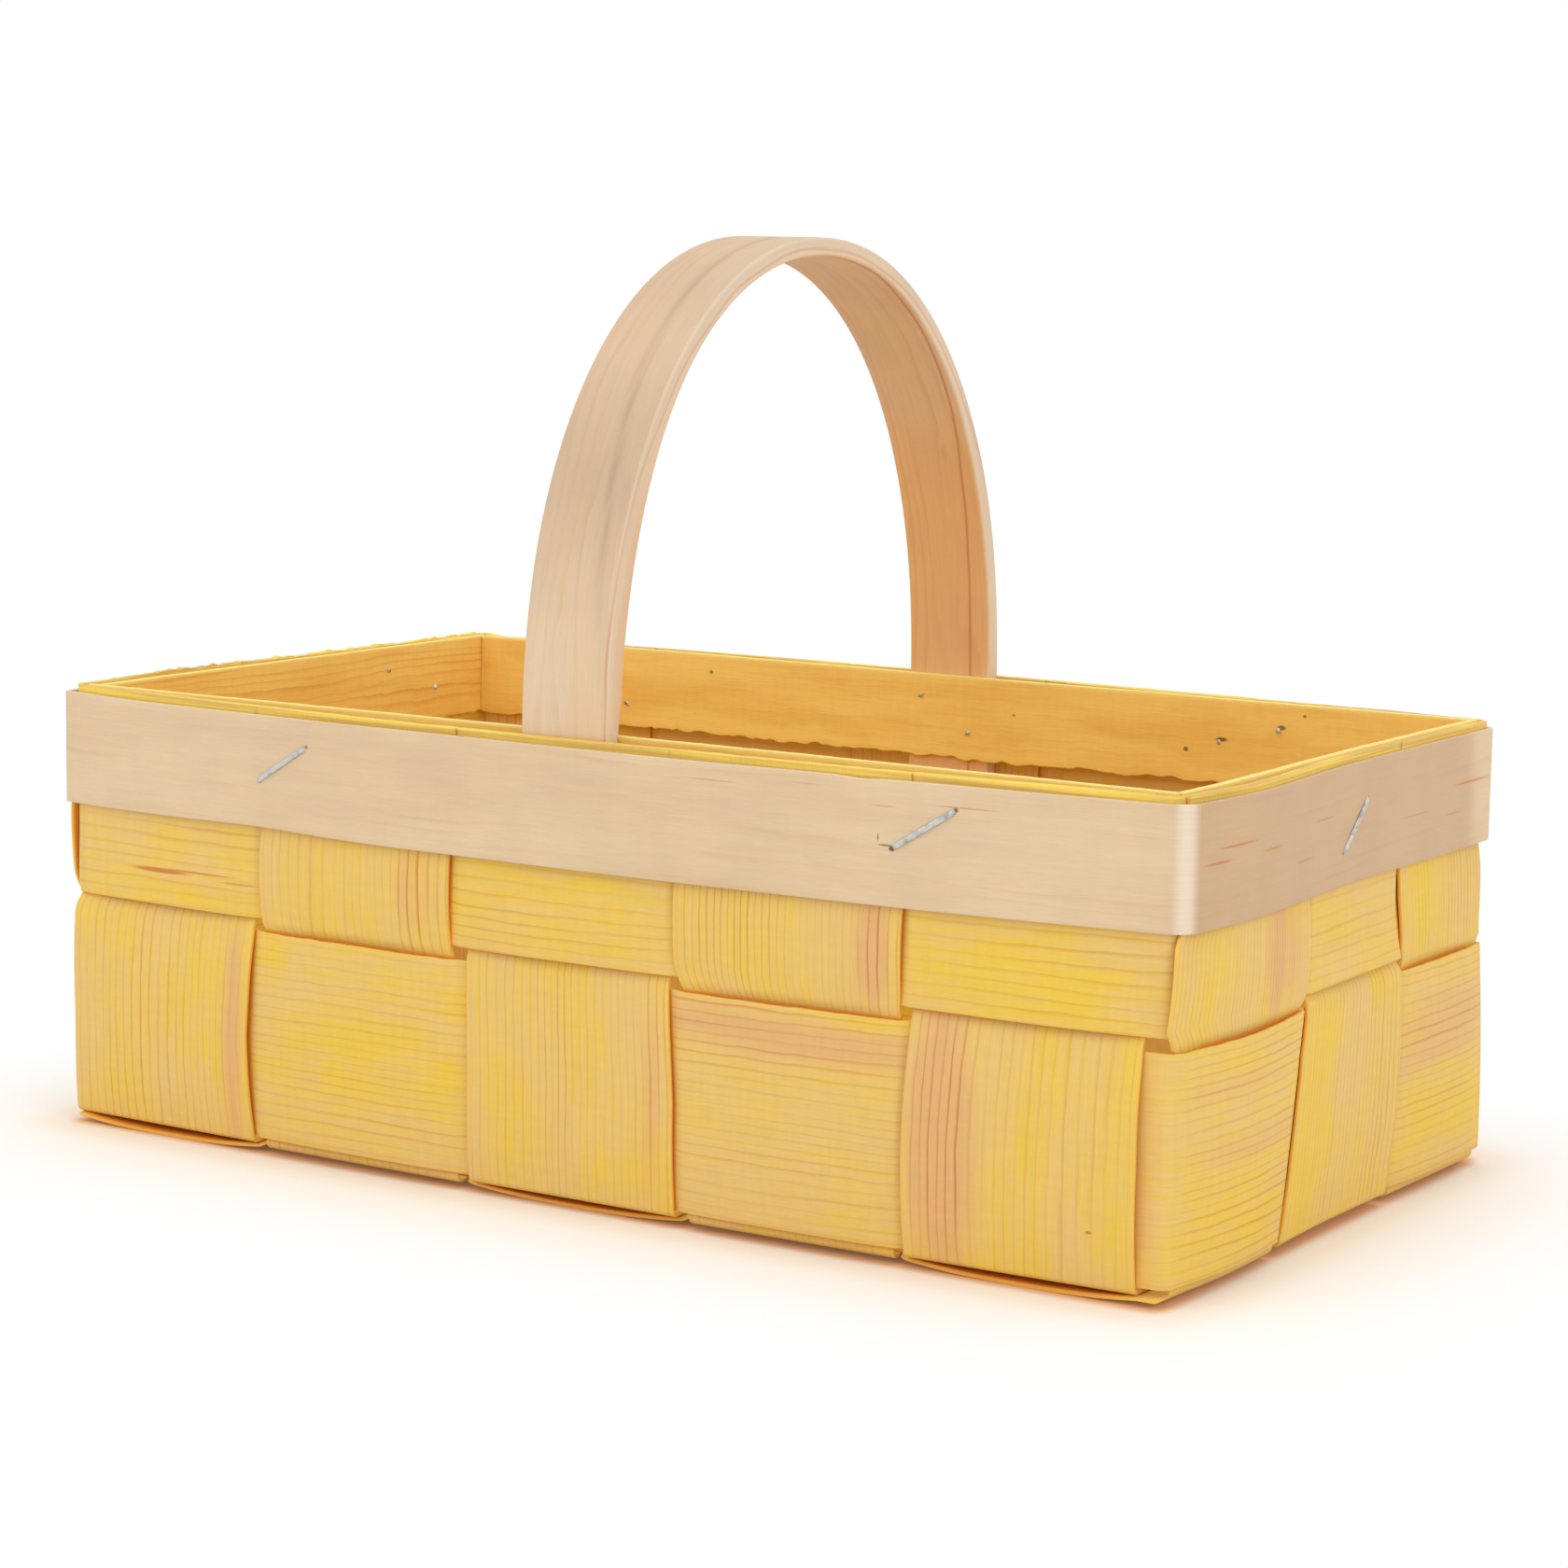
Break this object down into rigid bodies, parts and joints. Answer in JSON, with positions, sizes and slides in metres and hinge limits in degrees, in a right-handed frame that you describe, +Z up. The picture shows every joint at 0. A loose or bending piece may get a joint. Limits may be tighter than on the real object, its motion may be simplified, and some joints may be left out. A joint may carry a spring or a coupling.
{
  "type": "chip basket",
  "caption": "Oblong chip basket of wide interlaced dyed wood splints, with boards and a pale wooden band round the rim and a fixed bentwood handle arching across the middle.",
  "frame": {"origin": "on the floor plane under the middle of the basket", "axes": "+Z up, +X along the basket's length, -Y towards the long side that faces the viewer; the handle arches across Y"},
  "size_m": [0.2124, 0.1252, 0.1527],
  "materials": {
    "dyed_splint": "yellow-dyed thin wood splint, matte, with fine straight grain",
    "dyed_board": "yellow-orange dyed thin board, matte, paler cut edges",
    "pale_band": "undyed pale wood, planed, slight sheen",
    "pale_handle": "undyed pale bent wood, lightly rounded edges",
    "staple_wire": "galvanised flat wire"
  },
  "bodies": {
    "root": {"cross_splint_1": "dyed_splint", "cross_splint_2": "dyed_splint", "cross_splint_3": "dyed_splint", "cross_splint_4": "dyed_splint", "cross_splint_5": "dyed_splint", "long_splint_front": "dyed_splint", "long_splint_middle": "dyed_splint", "long_splint_back": "dyed_splint", "lower_hoop": "dyed_splint", "upper_hoop": "dyed_splint", "rim_board_front": "dyed_board", "rim_board_back": "dyed_board", "rim_board_left": "dyed_board", "rim_board_right": "dyed_board", "rim_band": "pale_band", "handle": "pale_handle", "rim_staples": "staple_wire", "handle_staples": "staple_wire"}
  },
  "joints": []
}
